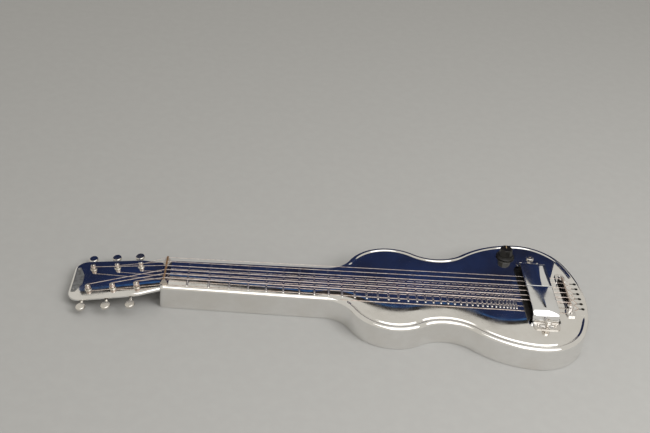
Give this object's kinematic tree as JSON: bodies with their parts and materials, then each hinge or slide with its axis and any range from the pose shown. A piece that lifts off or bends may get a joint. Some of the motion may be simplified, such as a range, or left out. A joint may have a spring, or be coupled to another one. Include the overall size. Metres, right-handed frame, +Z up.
{
  "type": "electric lap steel guitar",
  "caption": "Hollow plated-metal lap steel guitar with stamped frets, a horseshoe-magnet pickup, geared tuners, a volume knob and an output socket.",
  "frame": {"origin": "on the flat back, straight below the centreline of the nut", "axes": "+X along the strings from the nut to the tail, +Y across the strings to the treble side, +Z up out of the top"},
  "size_m": [0.7454, 0.2462, 0.0515],
  "materials": {
    "polished_shell": "mirror-polished plating, stamped sheet",
    "back_sheet": "plated sheet, lightly brushed",
    "plain_steel": "machined steel",
    "worn_ridge": "plated bar worn through to brass along its ridge",
    "bridge_metal": "plated casting, a little tarnished",
    "wound_string": "nickel-wound steel",
    "plain_string": "bright steel",
    "magnet_plating": "mirror plating over magnet steel",
    "black_bakelite": "moulded, dulled gloss",
    "fibre_bobbin": "vulcanised fibre",
    "coil_wire": "enamelled copper wire",
    "control_case": "plain stamped case",
    "control_shaft": "turned",
    "socket_metal": "nickel plate",
    "cloth_lead": "waxed cotton sleeve",
    "plate_grey": "dulled blank plate",
    "tuner_plate": "nickel plate, dulled",
    "tuner_metal": "nickel plate with wear",
    "tuner_gear": "cut brass"
  },
  "bodies": {
    "body": {"back_plate": "back_sheet", "back_plate_posts": "plain_steel", "back_plate_screws": "plain_steel", "bridge": "bridge_metal", "bridge_screws": "bridge_metal", "coil_bobbin": "fibre_bobbin", "coil_winding": "coil_wire", "jack_nut": "socket_metal", "magnet_far": "magnet_plating", "magnet_near": "magnet_plating", "nameplate": "plate_grey", "nameplate_pins": "plain_steel", "nut": "worn_ridge", "output_jack": "socket_metal", "pickup_base": "black_bakelite", "pickup_end_plates": "magnet_plating", "pickup_height_screws": "bridge_metal", "pickup_plate_screws": "bridge_metal", "pickup_support_bar": "plain_steel", "pole_pieces": "plain_steel", "post_ferrules": "tuner_metal", "potentiometer_case": "control_case", "potentiometer_nut": "socket_metal", "string_1": "plain_string", "string_2": "plain_string", "string_3": "plain_string", "string_4": "wound_string", "string_5": "wound_string", "string_6": "wound_string", "string_ball_ends": "tuner_gear", "top_shell": "polished_shell", "tuner_plate_screws": "tuner_metal", "tuner_plates": "tuner_plate", "wiring": "cloth_lead"},
    "key_1": {"key_shaft_1": "plain_steel", "key_button_1": "tuner_metal"},
    "post_1": {"tuner_post_1": "tuner_metal", "tuner_gear_1": "tuner_gear"},
    "key_2": {"key_shaft_2": "plain_steel", "key_button_2": "tuner_metal"},
    "post_2": {"tuner_post_2": "tuner_metal", "tuner_gear_2": "tuner_gear"},
    "key_3": {"key_shaft_3": "plain_steel", "key_button_3": "tuner_metal"},
    "post_3": {"tuner_post_3": "tuner_metal", "tuner_gear_3": "tuner_gear"},
    "key_4": {"key_shaft_4": "plain_steel", "key_button_4": "tuner_metal"},
    "post_4": {"tuner_post_4": "tuner_metal", "tuner_gear_4": "tuner_gear"},
    "key_5": {"key_shaft_5": "plain_steel", "key_button_5": "tuner_metal"},
    "post_5": {"tuner_post_5": "tuner_metal", "tuner_gear_5": "tuner_gear"},
    "key_6": {"key_shaft_6": "plain_steel", "key_button_6": "tuner_metal"},
    "post_6": {"tuner_post_6": "tuner_metal", "tuner_gear_6": "tuner_gear"},
    "volume": {"volume_knob": "black_bakelite", "potentiometer_shaft": "control_shaft"}
  },
  "joints": [
    {"name": "key_1_turn", "type": "hinge", "parent": "body", "child": "key_1", "pos_m": [-0.0437, -0.0235, 0.02004], "axis": [0, -1, 0], "continuous": true},
    {"name": "post_1_turn", "type": "hinge", "parent": "body", "child": "post_1", "pos_m": [-0.03799, -0.0235, 0.02751], "axis": [-0.1392, 0, 0.9903], "continuous": true},
    {"name": "key_2_turn", "type": "hinge", "parent": "body", "child": "key_2", "pos_m": [-0.07747, -0.0235, 0.01529], "axis": [0, -1, 0], "continuous": true},
    {"name": "post_2_turn", "type": "hinge", "parent": "body", "child": "post_2", "pos_m": [-0.07175, -0.0235, 0.02276], "axis": [-0.1392, 0, 0.9903], "continuous": true},
    {"name": "key_3_turn", "type": "hinge", "parent": "body", "child": "key_3", "pos_m": [-0.11173, -0.0235, 0.01047], "axis": [0, -1, 0], "continuous": true},
    {"name": "post_3_turn", "type": "hinge", "parent": "body", "child": "post_3", "pos_m": [-0.10602, -0.0235, 0.01794], "axis": [-0.1392, 0, 0.9903], "continuous": true},
    {"name": "key_4_turn", "type": "hinge", "parent": "body", "child": "key_4", "pos_m": [-0.0437, 0.0235, 0.02004], "axis": [0, 1, 0], "continuous": true},
    {"name": "post_4_turn", "type": "hinge", "parent": "body", "child": "post_4", "pos_m": [-0.03799, 0.0235, 0.02751], "axis": [-0.1392, 0, 0.9903], "continuous": true},
    {"name": "key_5_turn", "type": "hinge", "parent": "body", "child": "key_5", "pos_m": [-0.07747, 0.0235, 0.01529], "axis": [0, 1, 0], "continuous": true},
    {"name": "post_5_turn", "type": "hinge", "parent": "body", "child": "post_5", "pos_m": [-0.07175, 0.0235, 0.02276], "axis": [-0.1392, 0, 0.9903], "continuous": true},
    {"name": "key_6_turn", "type": "hinge", "parent": "body", "child": "key_6", "pos_m": [-0.11173, 0.0235, 0.01047], "axis": [0, 1, 0], "continuous": true},
    {"name": "post_6_turn", "type": "hinge", "parent": "body", "child": "post_6", "pos_m": [-0.10602, 0.0235, 0.01794], "axis": [-0.1392, 0, 0.9903], "continuous": true},
    {"name": "volume_turn", "type": "hinge", "parent": "body", "child": "volume", "pos_m": [0.5027, 0.089, 0.036], "axis": [0, 0, 1], "range_deg": [-150, 150]}
  ],
  "couplings": [
    {"joint": "post_1_turn", "follows": "key_1_turn", "ratio": 0.071429},
    {"joint": "post_2_turn", "follows": "key_2_turn", "ratio": 0.071429},
    {"joint": "post_3_turn", "follows": "key_3_turn", "ratio": 0.071429},
    {"joint": "post_4_turn", "follows": "key_4_turn", "ratio": 0.071429},
    {"joint": "post_5_turn", "follows": "key_5_turn", "ratio": 0.071429},
    {"joint": "post_6_turn", "follows": "key_6_turn", "ratio": 0.071429}
  ]
}
